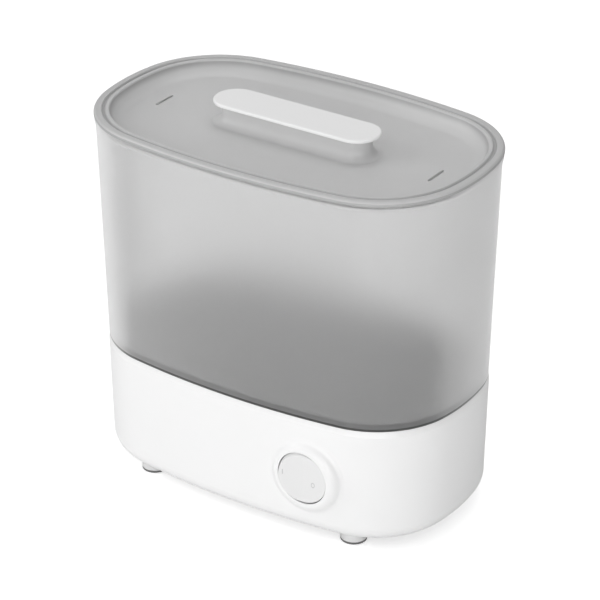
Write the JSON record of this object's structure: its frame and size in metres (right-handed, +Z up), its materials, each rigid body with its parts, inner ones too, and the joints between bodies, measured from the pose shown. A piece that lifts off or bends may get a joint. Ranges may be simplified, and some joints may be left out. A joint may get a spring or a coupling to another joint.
{
  "type": "bottle sterilizer",
  "caption": "Tall oval steam steriliser for baby bottles: white base with heating plate and round rocker switch, frosted lift-off tub, and lid with a pill-shaped handle.",
  "frame": {"origin": "middle of the underside, on the surface that the four feet stand on", "axes": "+Z up, +X along the oval to the right as seen from the front, -Y towards the front where the switch is"},
  "size_m": [0.29, 0.177, 0.278],
  "materials": {
    "base_plastic": "satin",
    "cover_plastic": "satin",
    "foot_rubber": "matte",
    "screw_steel": "satin",
    "plate_steel": "brushed",
    "seal_silicone": "matte",
    "cast_aluminium": "cast",
    "tube_steel": "heat-darkened",
    "thermostat_body": "matte",
    "fuse_case": "matte",
    "switch_plastic": "matte",
    "terminal_brass": "satin",
    "rocker_plastic": "semi-gloss",
    "gland_plastic": "satin",
    "block_plastic": "satin",
    "tub_plastic": "frosted",
    "lid_plastic": "frosted",
    "handle_plastic": "satin"
  },
  "bodies": {
    "base": {"base_shell": "base_plastic", "bottom_cover": "cover_plastic", "foot_pads": "foot_rubber", "case_screws": "screw_steel", "heating_plate": "plate_steel", "plate_seal": "seal_silicone", "clamp_ring": "screw_steel", "clamp_screws": "screw_steel", "heat_spreader": "cast_aluminium", "heating_element": "tube_steel", "thermostat": "thermostat_body", "thermostat_bracket": "screw_steel", "bracket_screws": "screw_steel", "thermal_fuse": "fuse_case", "fuse_clip": "screw_steel", "switch_housing": "switch_plastic", "switch_terminals": "terminal_brass", "switch_screws": "screw_steel", "rocker_pin": "screw_steel", "cord_gland": "gland_plastic", "terminal_block": "block_plastic"},
    "rocker": {"rocker": "rocker_plastic"},
    "tub": {"tub": "tub_plastic"},
    "lid": {"lid": "lid_plastic", "handle_plate": "handle_plastic", "handle_screws": "screw_steel"}
  },
  "joints": [
    {"name": "tub_lift", "type": "slide", "parent": "base", "child": "tub", "axis": [0, 0, 1], "range_m": [0, 0.1]},
    {"name": "lid_lift", "type": "slide", "parent": "tub", "child": "lid", "axis": [0, 0, 1], "range_m": [0, 0.15]},
    {"name": "rocker_tilt", "type": "hinge", "parent": "base", "child": "rocker", "pos_m": [0.06, -0.07528, 0.0532], "axis": [0, 0, -1], "range_deg": [0, 12]}
  ]
}
